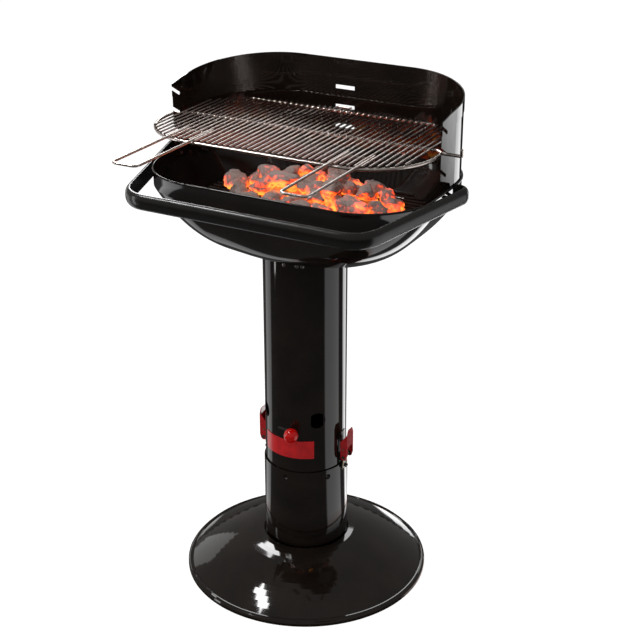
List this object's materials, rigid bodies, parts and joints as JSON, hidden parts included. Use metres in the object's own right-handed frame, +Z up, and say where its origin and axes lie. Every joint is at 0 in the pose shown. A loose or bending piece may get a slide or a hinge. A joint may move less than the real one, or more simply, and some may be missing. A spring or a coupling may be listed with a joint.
{
  "type": "charcoal grill",
  "caption": "Free-standing pedestal charcoal grill with a round foot, ash pot, column with air damper, rounded fire bowl, wind shield and a wire cooking grate hung in height slots",
  "frame": {"origin": "centre of the column's axis on the floor", "axes": "+Z up, +X to the grill's right as seen from the front, -Y to the front"},
  "size_m": [0.6438, 0.5785, 1.0223],
  "materials": {
    "black_enamel": "gloss enamel",
    "black_fittings": "satin paint",
    "satin_black": "satin paint",
    "red_plate": "gloss paint",
    "red_gloss": "gloss paint",
    "red_knob": "gloss",
    "bail_wire": "polished wire",
    "grate_wire": "bright plating",
    "fire_grate_steel": "heat darkened steel",
    "coals": "rough coal with ash",
    "damper_steel": "plain sheet",
    "fasteners": "plain zinc"
  },
  "bodies": {
    "stand": {"base_foot": "black_enamel", "pot_bolt": "fasteners", "pot_nut": "fasteners", "ash_pot": "black_enamel", "catch_left": "black_fittings", "catch_right": "black_fittings", "catch_rivets": "fasteners", "column_tube": "black_enamel", "label_plate": "red_plate", "bracket_left": "black_fittings", "bracket_right": "black_fittings", "bracket_rivets": "fasteners", "pivot_pins_left": "fasteners", "pivot_pins_right": "fasteners", "bowl": "black_enamel", "bowl_collar": "black_fittings", "collar_screws": "fasteners", "handle_bar": "satin_black", "handle_posts": "satin_black", "handle_bolts": "fasteners", "wind_shield": "black_enamel", "shield_screws": "fasteners", "shield_nuts": "fasteners"},
    "damper": {"damper_ring": "damper_steel", "damper_stud": "fasteners", "damper_knob": "red_knob"},
    "lever_l": {"lever_left": "red_gloss"},
    "lever_r": {"lever_right": "red_gloss"},
    "bail_l": {"bail_left": "bail_wire"},
    "bail_r": {"bail_right": "bail_wire"},
    "cooking_grate": {"grate_frame": "grate_wire", "grate_bars": "grate_wire", "grate_mid_rod": "grate_wire", "grate_back_rod": "grate_wire", "grate_rear_tab": "grate_wire", "grate_handle_left": "grate_wire", "grate_handle_right": "grate_wire", "grate_handle_ties": "grate_wire"},
    "fire_grate": {"charcoal_grate_ring": "fire_grate_steel", "charcoal_grate_bars": "fire_grate_steel", "charcoal_lumps": "coals"}
  },
  "joints": [
    {"name": "damper_turn", "type": "hinge", "parent": "stand", "child": "damper", "pos_m": [0, 0, 0.34174], "axis": [0, 0, 1], "range_deg": [-25.4, 1.8]},
    {"name": "lever_left_open", "type": "hinge", "parent": "stand", "child": "lever_l", "pos_m": [-0.093, 0, 0.27014], "axis": [0, -1, 0], "range_deg": [0, 90]},
    {"name": "lever_right_open", "type": "hinge", "parent": "stand", "child": "lever_r", "pos_m": [0.093, 0, 0.27014], "axis": [0, 1, 0], "range_deg": [0, 90]},
    {"name": "bail_left_swing", "type": "hinge", "parent": "lever_l", "child": "bail_l", "pos_m": [-0.092, 0, 0.28814], "axis": [0, -1, 0], "range_deg": [-63, 0]},
    {"name": "bail_right_swing", "type": "hinge", "parent": "lever_r", "child": "bail_r", "pos_m": [0.092, 0, 0.28814], "axis": [0, 1, 0], "range_deg": [-63, 0]},
    {"name": "grate_lift", "type": "slide", "parent": "stand", "child": "cooking_grate", "axis": [0, -0.848, 0.5299], "range_m": [0, 0.12]},
    {"name": "fire_lift", "type": "slide", "parent": "stand", "child": "fire_grate", "axis": [0, 0, 1], "range_m": [0, 0.045]}
  ],
  "couplings": [
    {"joint": "bail_left_swing", "follows": "lever_left_open", "ratio": -0.7},
    {"joint": "bail_right_swing", "follows": "lever_right_open", "ratio": -0.7}
  ]
}
